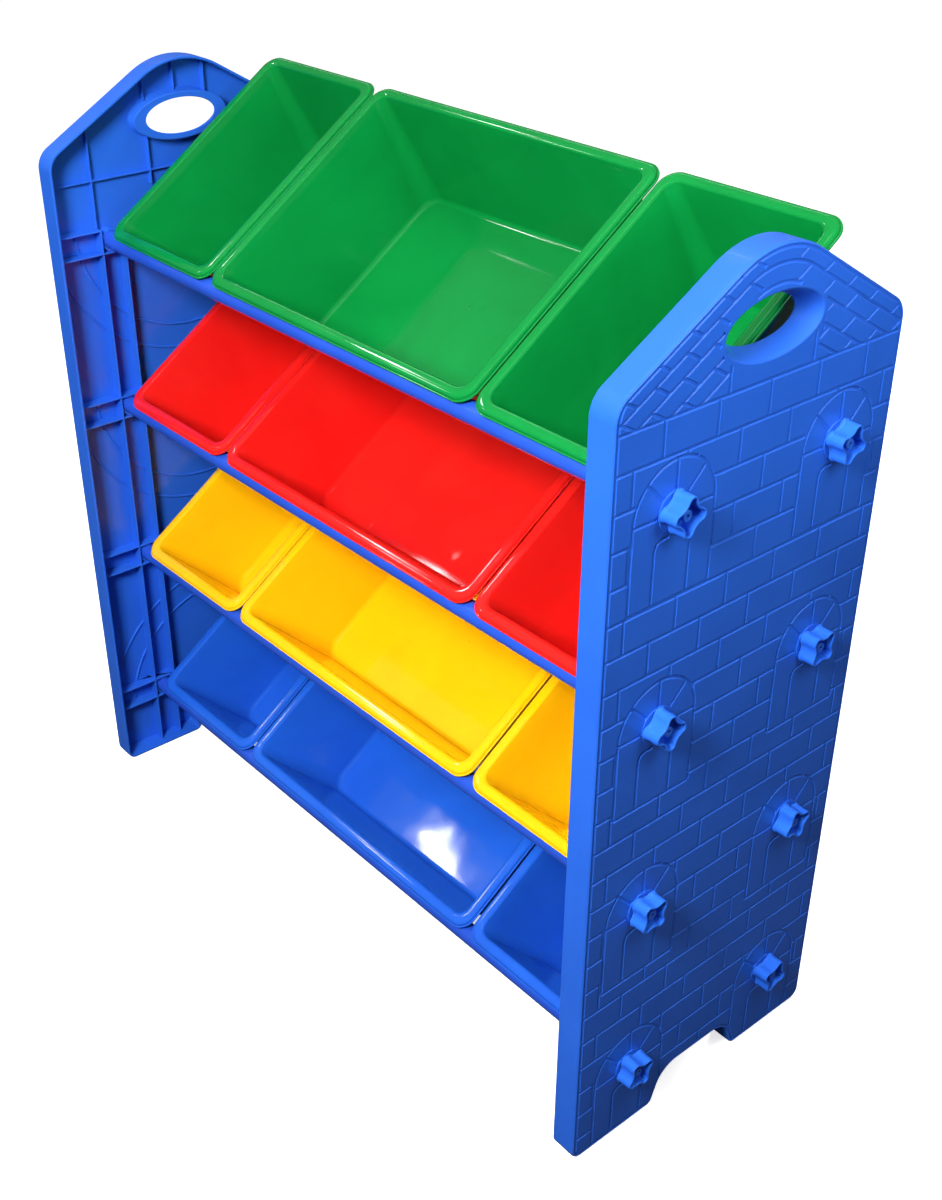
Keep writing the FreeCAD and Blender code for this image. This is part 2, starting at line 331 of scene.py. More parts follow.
def startTree(name, source, *extra):
    tree = bpy.data.node_groups.new(name, "GeometryNodeTree")
    sockets = [(source, "Geometry"), ("Target", "Object"), *extra, ("Finish", "Material")]
    for label, kind in sockets:
        tree.interface.new_socket(label, in_out="INPUT", socket_type="NodeSocket" + kind)
    tree.interface.new_socket("Result", in_out="OUTPUT", socket_type="NodeSocketGeometry")
    return tree, addNode(tree, "NodeGroupInput").outputs


def endTree(tree, given, solids, operation):  # each island is one operand against the target
    island = addNode(tree, "GeometryNodeInputMeshIsland").outputs["Island Index"]
    parts = addNode(tree, "GeometryNodeSplitToInstances", {"domain": "FACE"}, {},
                    {0: solids, "Group ID": island}).outputs["Instances"]
    target = addNode(tree, "GeometryNodeObjectInfo", {}, {}, {"Object": given["Target"]})
    work = addNode(tree, "GeometryNodeMeshBoolean", {"operation": operation, "solver": "MANIFOLD"})
    tree.links.new(target.outputs["Geometry"], work.inputs[0 if operation == "DIFFERENCE" else 1])
    tree.links.new(parts, work.inputs[1])
    real = addNode(tree, "GeometryNodeRealizeInstances", {}, {}, {0: work.outputs[0]})
    done = addNode(tree, "GeometryNodeSetMaterial", {}, {},
                   {0: real.outputs[0], "Material": given["Finish"]})
    addNode(tree, "NodeGroupOutput", {}, {}, {0: done.outputs[0]})
    return tree


def booleanTree(operation):
    tree, given = startTree("islands" + operation.title(), "Islands")
    return endTree(tree, given, given["Islands"], operation)


def grooveTree():  # every drawn line becomes a round cutter that is taken out of the target
    tree, given = startTree("reliefGrooves", "Lines", ("Groove radius", "Float"))
    line = addNode(tree, "GeometryNodeMeshToCurve", {}, {}, {0: given["Lines"]})
    profile = addNode(tree, "GeometryNodeCurvePrimitiveCircle", {}, {"Resolution": 16},
                      {"Radius": given["Groove radius"]})
    tube = addNode(tree, "GeometryNodeCurveToMesh", {}, {"Fill Caps": True},
                   {"Curve": line.outputs[0], "Profile Curve": profile.outputs[0]})
    return endTree(tree, given, tube.outputs[0], "DIFFERENCE")


def runTree(tree, piece, target, **inputs):  # returns the target with the tree's result as its mesh
    change = piece.modifiers.new("tree", "NODES")
    change.node_group = tree
    sockets = {s.name: s.identifier for s in tree.interface.items_tree if s.in_out == "INPUT"}
    change[sockets["Target"]] = target
    for name, value in inputs.items():
        change[sockets[name.replace("_", " ")]] = value
    settled(piece)
    target.data = piece.data
    bpy.data.objects.remove(piece)
    return target


def tray():  # the panel's open tray, from the middle of its outer face round to its inside
    s = panelSizes
    r = s["edgeRadius"]
    rings = []
    for k in range(s["edgeSteps"] + 1):
        a = math.pi / 2 * k / s["edgeSteps"]
        rings.append(outlineRing(faceX - r * (1 - math.cos(a)), r * (1 - math.sin(a))))
    lip, wall = s["lipRadius"], s["rimWall"]
    bevel = s["lipBevel"] * lip
    for x, inset in ((rimX + lip, 0), (rimX + bevel, bevel), (rimX, lip), (rimX, wall - lip),
                     (rimX + bevel, wall - bevel), (rimX + lip, wall), (faceX - s["skin"], wall)):
        rings.append(outlineRing(x, inset))
    return lathe("trayBlank", rings)


def ribBlock(y0, z0, y1, z1, height):  # a rib with a little draft, standing on the skin
    s = panelSizes
    base = faceX - s["skin"] + s["ribRoot"]
    top = faceX - s["skin"] - height
    along = Vector((y1 - y0, z1 - z0)).normalized()
    side = Vector((-along.y, along.x))
    wide, narrow = s["ribThickness"] / 2 + s["ribDraft"], s["ribThickness"] / 2 - s["ribDraft"]
    rings = []
    for x, half in ((base, wide), (top + s["ribTopDrop"], narrow), (top, narrow - s["ribTopInset"])):
        away = side * half
        rings.append([(x, y0 - away.x, z0 - away.y), (x, y1 - away.x, z1 - away.y),
                      (x, y1 + away.x, z1 + away.y), (x, y0 + away.x, z0 + away.y)])
    return lathe("rib", rings)


def ribBlocks():
    s = panelSizes
    deep, low = s["deepRib"], s["shallowRib"]
    topBox = railZ[1] + s["boxHalf"]
    over = s["ribThickness"] / 2
    past = s["sink"]
    blocks = []
    for side in (-1, 1):
        outer, inner = side * (railY + s["ribFromRail"]), side * (railY - s["ribFromRail"])
        blocks.append(ribBlock(outer, -past, outer, topBox + over, deep))
        blocks.append(ribBlock(inner, -past, inner, topBox - 2 * s["boxHalf"] + over, deep))
        blocks.append(ribBlock(outer, topBox, outer, apexZ, low))
        for tier in tiers:
            for level in (railZ[tier] - s["boxHalf"], railZ[tier] + s["boxHalf"]):
                end = outer if level == topBox else inner
                blocks.append(ribBlock(end, level, side * (halfDepth + past), level, deep))
        gableY = side * s["gableRibY"]
        blocks.append(ribBlock(gableY, s["gableRibFoot"], gableY, apexZ, low))
    blocks.append(ribBlock(0, s["handZ"], 0, apexZ + 2 * past, low))
    blocks.append(ribBlock(-halfDepth - past, s["crossZ"], halfDepth + past, s["crossZ"], low))
    return blocks


def ridgeBlocks():  # low round ridges inside the skin: bows below the upper tiers, arches on the lowest
    s = panelSizes
    x = faceX - s["skin"]
    blocks = []
    for tier, rise in s["ridgeCentres"].items():
        towards = -90 if rise > 0 else 90
        for radius in s["ridgeRadii"]:
            rings = []
            for step in range(-s["ridgeSteps"], s["ridgeSteps"] + 1):
                a = math.radians(towards + step * s["ridgeStep"])
                ring = []
                for k in range(s["ridgeSides"]):
                    t = 2 * math.pi * k / s["ridgeSides"]
                    out = radius + s["ridgeRound"] * math.cos(t)
                    ring.append((x + s["ridgeRound"] * s["ridgeSquash"] * math.sin(t),
                                 out * math.cos(a), railZ[tier] + rise + out * math.sin(a)))
                rings.append(ring)
            blocks.append(lathe("ridge", rings))
    return blocks


reliefSizes = {
    "grooveRadius": 2.5, "grooveLift": 1.4, "border": 3.6,
    "topCourse": 783.5, "courseHeight": 32.85, "courses": 23,
    "jointsEven": (-120.0, -58.5, 3.0, 64.0, 126.0),
    "jointsOdd": (-151.5, -90.5, -29.0, 32.5, 94.0, 155.0),
    "roofLines": (15.5, 31.5, 49.5, 66.0), "roofJoints": (20.0, 53.0, 85.5, 118.0, 152.0),
    "roofReach": 190.0, "roofSteps": 10,
    "gableStops": ((-49.0, 783.5, 815.0), (53.0, 783.5, 812.0), (61.0, 806.0, 830.0)),
    "gableOpen": (-49.0, 57.0), "handClear": 5.0, "bossOverlap": 1.0,
    "archRadius": 47.0, "archDrop": 2.0, "archBase": 81.0, "archParts": (0, 60, 120), "archStep": 6,
    "raysFrom": 20.0, "rayAngles": (0, 45, 90, 135, 180),
    "doorHalf": 20.5, "doorTop": 22.0, "doorCorner": 8.0, "doorBend": 2.5, "doorEnd": 4.0,
}


def reliefLines():  # every groove of the brick relief as a short path in (y, z)
    r = reliefSizes
    s = panelSizes
    paths = []

    def inArch(y, z):
        for tier in tiers:
            for centre in (-railY, railY):
                dy, dz = y - centre, z - (railZ[tier] - r["archDrop"])
                within = abs(dy) < r["archRadius"] and railZ[tier] - r["archBase"] < z
                if within and (dz < 0 or math.hypot(dy, dz) < r["archRadius"]):
                    return True
        return False

    def inHand(y, z):
        halfY, halfZ = (half + r["handClear"] for half in s["handHalf"])
        return (y / halfY) ** 2 + ((z - s["handZ"]) / halfZ) ** 2 < 1

    def offBoss(y, z):
        return all(math.hypot(y - c, z - railZ[t]) >= s["bossRadius"] - r["bossOverlap"]
                   for t in tiers for c in (-railY, railY))

    def add(points, allowed):  # keep the stretches that are allowed, 1 mm at a time
        run = []
        for (y0, z0), (y1, z1) in zip(points, points[1:]):
            steps = max(1, round(math.hypot(y1 - y0, z1 - z0)))
            ends = [(y0 + (y1 - y0) * i / steps, z0 + (z1 - z0) * i / steps) for i in range(steps + 1)]
            ok = [insideOutline(y, z, r["border"]) and not inHand(y, z) and allowed(y, z)
                  for y, z in ends]
            for i, (point, good) in enumerate(zip(ends, ok)):
                if good and (not run or i in (0, steps) or not ok[i - 1]):
                    if not run or run[-1] != point:
                        run.append(point)
                elif good and i + 1 <= steps and not ok[i + 1]:
                    run.append(point)
                elif not good and run:
                    if len(run) > 1:
                        paths.append(run)
                    run = []
        if len(run) > 1:
            paths.append(run)

    def brick(y, z):
        return not inArch(y, z)

    def roofDrop(y, z):  # distance in from the roof edge
        flat = (apexCentreZ + s["apexRadius"] / math.cos(slope)) - abs(y) * math.tan(slope)
        return (flat - z) * math.cos(slope)

    def gable(y, z):
        plain = r["gableOpen"][0] < y < r["gableOpen"][1] and z < s["handZ"]
        return z > r["topCourse"] and brick(y, z) and not plain

    def anywhere(y, z):
        return True

    for n in range(r["courses"] + 1):
        z = r["topCourse"] - r["courseHeight"] * n
        add([(-halfDepth, z), (halfDepth, z)], brick)
        if n < r["courses"]:
            for y in r["jointsOdd"] if n % 2 else r["jointsEven"]:
                add([(y, z), (y, z - r["courseHeight"])], brick)
    for drop in r["roofLines"]:
        radius = s["apexRadius"] - drop
        arc = [(radius * math.sin(a), apexCentreZ + radius * math.cos(a))
               for a in [slope * (k / r["roofSteps"] - 1) for k in range(2 * r["roofSteps"] + 1)]]
        across, down = r["roofReach"] * math.cos(slope), r["roofReach"] * math.sin(slope)
        left = (arc[0][0] - across, arc[0][1] - down)
        right = (arc[-1][0] + across, arc[-1][1] - down)
        add([left] + arc + [right], gable)
    edges = (0.0,) + r["roofLines"]
    for outerDrop, innerDrop in zip(edges, edges[1:]):
        for y in r["roofJoints"]:
            for side in (-1, 1):
                ridge = apexCentreZ + (s["apexRadius"] - innerDrop) / math.cos(slope)
                z = ridge - y * math.tan(slope)
                reach = (innerDrop - outerDrop) / math.sin(2 * slope)
                outerY, outerZ = y + reach * math.cos(slope), z + reach * math.sin(slope)
                add([(side * y, z), (side * outerY, outerZ)], gable)
    for y, z0, z1 in r["gableStops"]:
        add([(y, z0), (y, z1)], anywhere)
    frameLine = [(y, z) for x, y, z in outlineRing(0, r["border"])]
    paths.append(frameLine + frameLine[:1])
    for tier in tiers:
        for centre in (-railY, railY):
            z = railZ[tier] - r["archDrop"]
            base = railZ[tier] - r["archBase"]
            top = railZ[tier] - r["doorTop"]
            big, small = r["archRadius"], r["doorHalf"]
            corner, bend = r["doorCorner"], r["doorBend"]

            def onArc(radius, degrees):
                a = math.radians(degrees)
                return (centre + radius * math.cos(a), z + radius * math.sin(a))

            for start in r["archParts"]:
                add([onArc(big, start + k * r["archStep"]) for k in range(11)], offBoss)
            for angle in r["rayAngles"]:
                add([onArc(r["raysFrom"], angle), onArc(big, angle)], offBoss)
            for side in (-1, 1):
                add([(centre + side * big, z), (centre + side * big, base)], offBoss)
                door = [(small, base), (small, top - corner), (small - bend, top - bend),
                        (small - corner, top), (r["doorEnd"], top)]
                add([(centre + side * y, high) for y, high in door], offBoss)
            add([(centre - big, base), (centre + big, base)], offBoss)
    return paths


# the hand hole's edges, each step as (distance out, added across, added upward)
handProfiles = {
    "collarFace": ((-2.0, 0.0, 0.0),), "collarThroat": ((2.0, 1.0, 0.5), (0.4, 0.0, 0.0)),
    "ring": ((3.0, -0.5, -0.5), (2.4, 0.0, 0.0), (1.2, 0.0, 0.0), (0.4, -0.6, -0.6), (0.0, -1.8, -1.6)),
    "mouth": ((1.2, 4.0, 4.0), (0.0, 2.2, 2.2), (-0.6, 1.0, 1.0), (-1.8, 0.2, 0.2), (-3.2, -0.8, -0.5)),
    "throat": ((3.0, 1.0, 0.6), (1.4, 0.0, 0.0), (-0.2, 0.7, 0.7), (-1.5, 2.2, 2.2)),
}


def makePanel():
    s = panelSizes
    h = handProfiles
    inner = faceX - s["skin"]
    throat = faceX - s["handDepth"]
    panel = tray()
    hollow = lathe("hollow", [outlineRing(inner + s["sink"], s["rimWall"] - s["trim"]),
                              outlineRing(rimX - s["rimReach"], s["rimWall"] - s["trim"])])
    unite, cutAway = booleanTree("UNION"), booleanTree("DIFFERENCE")
    ribs = joined("ribs", ribBlocks() + ridgeBlocks())
    ribSet = runTree(unite, ribs, objectFrom("ribSet", [], []))
    trim = ribSet.modifiers.new("trim", "BOOLEAN")
    trim.operation, trim.solver, trim.object = "INTERSECT", "MANIFOLD", hollow
    settled(ribSet)
    bpy.data.objects.remove(hollow)
    print("ribs", len(ribSet.data.polygons))

    tall, wide = s["handHalf"], s["throatHalf"]
    tallOut, wideOut = ([half + s["handWall"] for half in sizes] for sizes in (tall, wide))
    adds = [ribSet,
            lathe("collar", handRings(faceX, tallOut, h["collarFace"])
                  + handRings(throat, wideOut, h["collarThroat"])),
            lathe("handRing", handRings(throat, s["ringHalf"], h["ring"]))]
    cuts = [lathe("funnel", handRings(faceX, tall, h["mouth"]) + handRings(throat, wide, h["throat"]))]
    for tier in tiers:
        for y in (-railY, railY):
            z = railZ[tier]
            boss, socket = s["bossRadius"], s["socketBore"] + s["socketWall"]
            top = faceX + s["bossHeight"]
            steps = [(inner + s["sink"], boss)] + [(top + x, boss + grow) for x, grow in s["bossEdge"]]
            adds.append(lathe("boss", [circleRing(x, radius, y, z) for x, radius in steps]))
            adds.append(lathe("socket", [
                circleRing(inner + s["sink"], socket + s["socketDraft"], y, z),
                circleRing(inner - s["socketDepth"], socket, y, z)]))
            cuts.append(lathe("bore", [circleRing(inner, s["socketBore"], y, z),
                                       circleRing(inner - s["boreReach"], s["socketBore"], y, z)]))
            cuts.append(lathe("hole", [circleRing(faceX + s["holeReach"], s["screwHole"], y, z),
                                       circleRing(inner - s["holeBack"], s["screwHole"], y, z)]))
    runTree(unite, joined("adds", adds), panel)
    print("panel with ribs", len(panel.data.polygons))

    r = reliefSizes
    paths = reliefLines()
    points, edges = [], []
    for path in paths:
        start = len(points)
        points += [(faceX + r["grooveLift"], y, z) for y, z in path]
        edges += [(start + i, start + i + 1) for i in range(len(path) - 1)]
    lines = objectFrom("lines", points, [], edges)
    runTree(grooveTree(), lines, panel, Groove_radius=r["grooveRadius"] * mm)
    runTree(cutAway, joined("cuts", cuts), panel)
    print("relief grooves", len(paths), "faces", len(panel.data.polygons))
    return panel


rightPanel = makePanel()
rightPanel.name = rightPanel.data.name = "rightPanelRelief"
leftPanel = bpy.data.objects.new("leftPanelRelief", rightPanel.data.copy())
bpy.context.scene.collection.objects.link(leftPanel)
leftPanel.data.transform(Matrix.Diagonal((-1, 1, 1, 1)))
leftPanel.data.flip_normals()
for piece, node in ((rightPanel, "right_side_panel"), (leftPanel, "left_side_panel")):
    softShade(piece, 20)
    dress(piece, materials["panel"], "rack", "panel", node)
print("panels done")


# Tubes

tubeSizes = {"wall": 2.0, "chamfer": 0.5, "steps": 72}


def makeTube(name, node):
    s = tubeSizes
    low, high = (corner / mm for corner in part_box(node))
    centre = (low + high) / 2
    outer = (high.z - low.z) / 2
    inner = outer - s["wall"]
    c = s["chamfer"]
    rings = []
    for x, radius in ((low.x + c, outer), (high.x - c, outer), (high.x, outer - c),
                      (high.x, inner + c / 2), (high.x - c / 2, inner), (low.x + c / 2, inner),
                      (low.x, inner + c / 2), (low.x, outer - c)):
        rings.append(circleRing(x, radius, centre.y, centre.z, s["steps"]))
    points = [p for ring in rings for p in ring]
    return outward(objectFrom(name, points, loopFaces(len(rings), s["steps"], True)))


for tier in tiers:
    for row in ("front", "rear"):
        node = "rail_%s_%d" % (row, tier)
        tube = makeTube("tube%s%d" % (row.title(), tier), node)
        softShade(tube)
        dress(tube, materials["rail"], "rack", "rail", node)
        for side in ("left", "right"):
            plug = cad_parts["plug_%s_%s_%d" % (side, row, tier)]
            plug.data.materials.clear()
            plug.data.materials.append(materials["plug"])
print("tubes done")


# Screw knobs

knobSizes = {
    "lobes": 4, "tip": 18.5, "waist": 12.6, "lobe": 6.2, "wall": 2.2, "floor": 3.5,
    "lip": 0.9, "lipHeight": 3.0, "rise": 16.7,
    "hub": 5.0, "hubBelow": 4.0, "hubBore": 1.6, "hubBoreDepth": 8.0, "draft": 0.25,
    "screw": 5.0, "screwLength": 28.3, "threadPitch": 4.0, "threadDepth": 0.9, "steps": 96,
    "turnSteps": 12, "leadIn": 10, "runOut": 20, "neck": 0.2,
    # rounded edges, each step as (distance out, added to the outline)
    "footEdge": ((0.0, -0.5), (0.4, 0.0)), "lipEdge": ((-0.6, 0.0), (-0.1, -0.35)),
    "wallFoot": ((0.2, 0.15), (0.8, 0.0)), "topOutside": ((-1.0, 0.0), (-0.3, -0.3), (0.0, -1.0)),
    "topInside": ((-0.3, 0.1), (-1.0, 0.0)), "floorEdge": ((1.0, -0.2), (0.2, -0.8), (0.0, -1.6)),
    "hubFoot": ((0.0, 0.8), (0.8, 0.0)), "hubTop": ((-0.5, 0.0), (0.0, -0.5)),
    "boreTop": ((0.0, 0.3), (-0.3, 0.0)),
}


def starRadius(angle, grow):  # distance to the lobed outline, with a tip at every quarter turn
    s = knobSizes
    step = math.pi / s["lobes"]
    tip, waist, lobe = s["tip"] + grow, s["waist"] + grow, s["lobe"] + grow
    centre = tip - lobe
    fall = math.cos(step)
    swell = lobe ** 2 - centre ** 2 - waist ** 2 + 2 * fall * centre * waist
    swell /= 2 * (waist - fall * centre - lobe)
    far = waist + swell
    a = abs((angle + step) % (2 * step) - step)
    away = math.hypot(far * fall - centre, far * math.sin(step))
    touchX = centre + lobe * (far * fall - centre) / away
    touchY = lobe * far * math.sin(step) / away
    if a <= math.atan2(touchY, touchX):
        return centre * math.cos(a) + math.sqrt(lobe ** 2 - (centre * math.sin(a)) ** 2)
    b = step - a
    return far * math.cos(b) - math.sqrt(swell ** 2 - (far * math.sin(b)) ** 2)


def makeKnobMesh():  # pointing along +X, base plane at x = 0, tips at 0 and 90 degrees
    s = knobSizes
    steps = s["steps"]
    angles = [2 * math.pi * i / steps for i in range(steps)]

    def around(x, radii):
        return [(x, radius * math.cos(a), radius * math.sin(a)) for a, radius in zip(angles, radii)]

    def stars(x, grow, profile):
        return [around(x + out, [starRadius(a, grow + more) for a in angles]) for out, more in profile]

    def discs(x, radius, profile=((0.0, 0.0),)):
        return [around(x + out, [radius + more] * steps) for out, more in profile]

    def threadRing(x, fade):  # one slice of the coarse thread, which fades at both ends
        depth = fade * s["threadDepth"]
        turn = 2 * math.pi * x / s["threadPitch"]
        return around(x, [s["screw"] - depth * (0.5 + 0.5 * math.cos(a - turn)) for a in angles])

    rise, wall, floor = s["rise"], s["wall"], s["floor"]
    hubEnd = rise - s["hubBelow"]
    turns = int(s["screwLength"] / s["threadPitch"] * s["turnSteps"])
    rings = [threadRing(s["screwLength"] * (k / turns - 1),
                        min(1, k / s["leadIn"], (turns - k) / s["runOut"])) for k in range(turns + 1)]
    rings += discs(0, s["screw"] + s["neck"])
    rings += stars(0, s["lip"], s["footEdge"]) + stars(s["lipHeight"], s["lip"], s["lipEdge"])
    rings += stars(s["lipHeight"], 0, s["wallFoot"]) + stars(rise, -s["draft"], s["topOutside"])
    rings += stars(rise, -wall, s["topInside"]) + stars(floor, -wall, s["floorEdge"])
    rings += discs(floor, s["hub"], s["hubFoot"]) + discs(hubEnd, s["hub"], s["hubTop"])
    rings += discs(hubEnd, s["hubBore"], s["boreTop"]) + discs(hubEnd - s["hubBoreDepth"], s["hubBore"])
    return lathe("knobBlank", rings)


def knobTurn(node):  # the angle of a lobe tip, from how the node's own outline swells
    centre = middle(node)
    lobes = knobSizes["lobes"]
    across = along = 0.0
    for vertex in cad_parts[node].data.vertices:
        y, z = vertex.co.y - centre.y, vertex.co.z - centre.z
        swell = max(math.hypot(y, z) - knobSizes["waist"] * mm, 0)
        across += swell * math.sin(lobes * math.atan2(z, y))
        along += swell * math.cos(lobes * math.atan2(z, y))
    return math.atan2(across, along) / lobes


knobBlank = makeKnobMesh()
for side in ("left", "right"):
    for row in ("front", "rear"):
        for tier in tiers:
            node = "knob_%s_%s_%d" % (side, row, tier)
            low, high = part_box(node)
            mesh = knobBlank.data.copy()
            centre = railCentre[row, tier] * mm
            flip = -1 if side == "left" else 1
            baseX = (high.x if side == "right" else -low.x) - knobSizes["rise"] * mm
            place = Matrix.Translation((flip * baseX, centre.y, centre.z)) @ Matrix.Diagonal((flip, 1, 1, 1))
            mesh.transform(place @ Matrix.Rotation(knobTurn(node), 4, "X"))
            if flip < 0:
                mesh.flip_normals()
            knob = bpy.data.objects.new("knob%s%s%d" % (side.title(), row.title(), tier), mesh)
            bpy.context.scene.collection.objects.link(knob)
            softShade(knob, 40)
            dress(knob, materials["knob"], node, "knob", node)
bpy.data.objects.remove(knobBlank)
print("knobs done")


# Bins

binSizes = {
    "length": 292.0, "depth": 122.0, "wall": 2.0, "overhang": 12.0, "rimHeight": 6.2,
    "rimCorner": 20.0, "innerCorner": 12.0, "floorCorner": 22.0, "draftSide": 30.0, "draftEnd": 26.0,
    "floorRound": 7.0, "skirt": 2.4, "bead": 4.4, "step": 1.3, "cornerSteps": 12, "roundSteps": 8,
    "beadSteps": 12, "beadPower": 0.8, "underRim": 2.0, "neckDown": 12.0, "rimFoot": 6.0,
    "leastOuter": 4.0, "leastInner": 3.0,
    # the gate's nub as (radius, height)
    "gate": ((2.6, -0.3), (2.6, 0.1), (1.95, 0.35), (1.1, 0.35), (0.9, 0.7), (0.4, 0.8)), "gateSteps": 24,
}


def makeBin(name, width):  # level, rim top at z = 0, front edge of the rim at y = 0
    s = binSizes
    steps = s["cornerSteps"]
    depth, wall, over = s["depth"], s["wall"], s["overhang"]

    def ring(inset, z, radius, down=0.0):  # a rounded rectangle, narrower the farther down it lies
        share = down / depth
        x = width / 2 - inset - s["draftSide"] * share
        y0 = inset + s["draftEnd"] * share
        y1 = s["length"] - y0
        points = []
        for cx, cy, a0 in ((x - radius, y1 - radius, 0), (-x + radius, y1 - radius, 90),
                           (-x + radius, y0 + radius, 180), (x - radius, y0 + radius, 270)):
            for k in range(steps + 1):
                a = math.radians(a0 + 90 * k / steps)
                points.append((cx + radius * math.cos(a), cy + radius * math.sin(a), z))
        return points

    def rimRadius(inset):
        return s["rimCorner"] + (s["innerCorner"] - s["rimCorner"]) * inset / (over + wall)

    def wallRadius(down):
        return s["innerCorner"] + 2 + (s["floorCorner"] - s["innerCorner"]) * down / depth

    quarter = [math.pi / 2 * k / s["roundSteps"] for k in range(s["roundSteps"] + 1)]
    high, skirt, bead, under, step = (s[n] for n in ("rimHeight", "skirt", "bead", "underRim", "step"))
    halfway, neck, foot = depth * 0.5, s["neckDown"], s["rimFoot"]
    rings = []
    r = s["floorRound"]
    for a in quarter:  # outer floor corner, from under the floor up to the wall
        down, back = depth - r * (1 - math.cos(a)), r * (1 - math.sin(a))
        rings.append(ring(over + back, -down, max(s["leastOuter"], wallRadius(depth) - back), down))
    for down in (halfway, neck):
        rings.append(ring(over, -down, wallRadius(down), down))
    rings.append(ring(over - 0.1, -high, wallRadius(foot), foot))
    # under the rim from the wall out to the foot of its bead, as inset, height and inset for the corner
    for inset, z, corner in (
            (over - 0.4, -under - 0.4, over), (over - 1.2, -under, over - 1.2),
            (skirt + 0.6, -under, skirt + 0.6), (skirt, -under - 0.6, skirt),
            (skirt - 0.2, -high + 0.3, skirt), (skirt - 0.6, -high, skirt),
            (0.4, -high, 0.4), (0.0, -high + 0.4, 0.0), (0.0, -bead - 0.3, 0.0),
            (0.4, -bead + 0.1, 0.4), (step, -bead + 0.2, step)):
        rings.append(ring(inset, z, rimRadius(corner)))
    half = (over + wall - step) / 2
    for k in range(1, s["beadSteps"]):  # the rolled bead
        a = math.pi * k / s["beadSteps"]
        inset = step + half - half * math.copysign(abs(math.cos(a)) ** s["beadPower"], math.cos(a))
        rings.append(ring(inset, bead * (math.sin(a) ** s["beadPower"] - 1), rimRadius(inset)))
    inner = over + wall
    rings.append(ring(inner, -bead, wallRadius(4) - wall))
    for down in (neck, halfway):
        rings.append(ring(inner, -down, wallRadius(down) - wall, down))
    r = s["floorRound"] - wall
    for a in quarter:  # inner floor corner
        down, back = depth - wall - r * (1 - math.sin(a)), r * (1 - math.cos(a))
        corner = max(s["leastInner"], wallRadius(depth) - wall - back)
        rings.append(ring(inner + back, -down, corner, down))
    return lathe(name, rings)


def gateMark(x, y, z):  # the small nub that the mould's feed leaves on the floor
    angles = [2 * math.pi * i / binSizes["gateSteps"] for i in range(binSizes["gateSteps"])]
    return lathe("gate", [[(x + radius * math.cos(a), y + radius * math.sin(a), z + high)
                           for a in angles] for radius, high in binSizes["gate"]])


binTilt = math.asin((binSizes["depth"] - binSizes["rimHeight"]) / (2 * railY))
binColours = {1: "bin_green", 2: "bin_red", 3: "bin_yellow", 4: "bin_blue"}
for tier in tiers:
    for place in ("left", "middle", "right"):
        node = "bin_%s_%d" % (place, tier)
        low, high = (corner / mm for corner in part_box(node))
        width = high.x - low.x
        s = binSizes
        tub = joined("bin%s%d" % (place.title(), tier), [
            makeBin("tub", width), gateMark(0, s["length"] / 2, -s["depth"] + s["wall"])])
        # tipped forward, then set to the node's foremost and highest points
        tub.data.transform(Matrix.Rotation(binTilt, 4, "X"))
        foremost = min(v.co.y for v in tub.data.vertices)
        highest = max(v.co.z for v in tub.data.vertices)
        tub.data.transform(Matrix.Translation(
            ((low.x + high.x) / 2 * mm, low.y * mm - foremost, high.z * mm - highest)))
        softShade(tub, 40)
        dress(tub, materials[binColours[tier]], node, binColours[tier], node)
print("bins done")


# Floor, light and camera

stageSizes = {
    "imageHeight": 1200.0, "focal": 1524.06, "camera": (1137.6, -910.7, 1251.4),
    "azimuth": 49.1, "elevation": 30.99, "roll": 0.36, "sensor": 36.0,
    "clip": (0.05, 60.0), "floorHalf": 9000.0, "floorZ": -0.2,
    "paper": "#F0F0F0", "paperToPlastic": "#3C3C3C", "paperGlow": 0.72,
    "roomLevels": (0.05, 0.4), "mirroredLevels": (0.1, 0.24),  # world strength low down and overhead
    "lampAim": (0, 0, 450),
}


def makeFloor():
    s = stageSizes
    h, z = s["floorHalf"], s["floorZ"]
    floor = objectFrom("floor", [(-h, -h, z), (h, -h, z), (h, h, z), (-h, h, z)], [(0, 1, 2, 3)])
    # matte sheet, white paper to the camera, that gives the rack only a little light back
    material, tree = emptyMaterial("matteWhitePaper")
    matte = addNode(tree, "ShaderNodeBsdfDiffuse", {}, {"Color": linear(s["paper"])})
    dull = addNode(tree, "ShaderNodeBsdfDiffuse", {}, {"Color": linear(s["paperToPlastic"])})
    glow = addNode(tree, "ShaderNodeEmission", {}, {"Color": (1, 1, 1, 1), "Strength": s["paperGlow"]})
    seen = addNode(tree, "ShaderNodeLightPath")
    both = addNode(tree, "ShaderNodeAddShader", {}, {}, {0: matte.outputs[0], 1: glow.outputs[0]})
    pick = addNode(tree, "ShaderNodeMixShader", {}, {}, {0: seen.outputs["Is Camera Ray"],
                   1: dull.outputs[0], 2: both.outputs[0]})
    addNode(tree, "ShaderNodeOutputMaterial", {}, {}, {"Surface": pick.outputs[0]})
    floor.data.materials.append(material)


